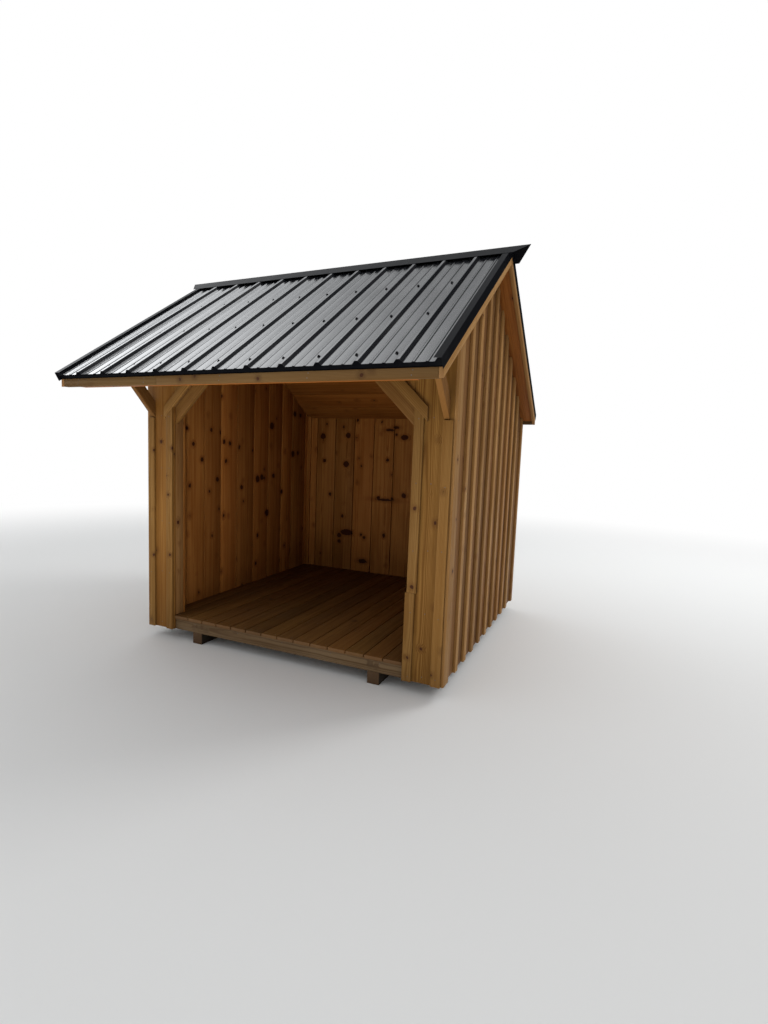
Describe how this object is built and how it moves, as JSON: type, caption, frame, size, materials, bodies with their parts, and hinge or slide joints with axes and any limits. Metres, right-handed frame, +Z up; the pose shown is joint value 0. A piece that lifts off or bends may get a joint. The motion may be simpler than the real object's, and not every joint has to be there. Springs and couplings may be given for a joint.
{
  "type": "log store",
  "caption": "Open-front timber log store with board-and-batten walls, lined inside, on skids, under a ribbed metal gable roof with a deep front overhang.",
  "frame": {"origin": "ground level under the middle of the roof's plan", "axes": "+X to the right seen from the open front, +Y to the back, +Z up"},
  "size_m": [2.982, 3.2908, 3.0452],
  "materials": {
    "skid_timber": "rough sawn softwood",
    "floor_frame_wood": "rough sawn softwood",
    "deck_wood": "rough sawn softwood",
    "frame_wood": "rough sawn softwood",
    "siding_wood": "rough sawn softwood",
    "batten_wood": "rough sawn softwood",
    "brace_wood": "rough sawn softwood",
    "lining_wood": "rough sawn softwood",
    "ceiling_wood": "rough sawn softwood",
    "roof_board_wood": "rough sawn softwood",
    "fascia_wood": "rough sawn softwood",
    "roof_metal": "glossy black coated steel",
    "trim_metal": "glossy black coated steel"
  },
  "bodies": {
    "root": {"skids": "skid_timber", "front_rim": "floor_frame_wood", "rear_rim": "floor_frame_wood", "side_rims": "floor_frame_wood", "floor_joists": "floor_frame_wood", "floor_deck": "deck_wood", "left_wall_frame": "frame_wood", "right_wall_frame": "frame_wood", "back_wall_frame": "frame_wood", "front_wall_frame": "frame_wood", "frame_braces": "frame_wood", "rafters": "frame_wood", "ridge_board": "frame_wood", "left_siding": "siding_wood", "right_siding": "siding_wood", "back_siding": "siding_wood", "front_siding_left": "siding_wood", "front_siding_right": "siding_wood", "front_siding_header": "siding_wood", "left_battens": "batten_wood", "right_battens": "batten_wood", "back_battens": "batten_wood", "front_battens": "batten_wood", "diagonal_trims": "batten_wood", "corner_strips": "batten_wood", "knee_braces": "brace_wood", "left_lining": "lining_wood", "right_lining": "lining_wood", "back_lining": "lining_wood", "front_lining": "lining_wood", "front_ceiling": "ceiling_wood", "rear_ceiling": "ceiling_wood", "soffits": "ceiling_wood", "front_roof_boards": "roof_board_wood", "rear_roof_boards": "roof_board_wood", "front_fascia": "fascia_wood", "rear_fascia": "fascia_wood", "left_barge_boards": "fascia_wood", "right_barge_boards": "fascia_wood", "front_roof_metal": "roof_metal", "rear_roof_metal": "roof_metal", "ridge_cap": "trim_metal", "eave_trims": "trim_metal", "rake_trims": "trim_metal"}
  },
  "joints": []
}
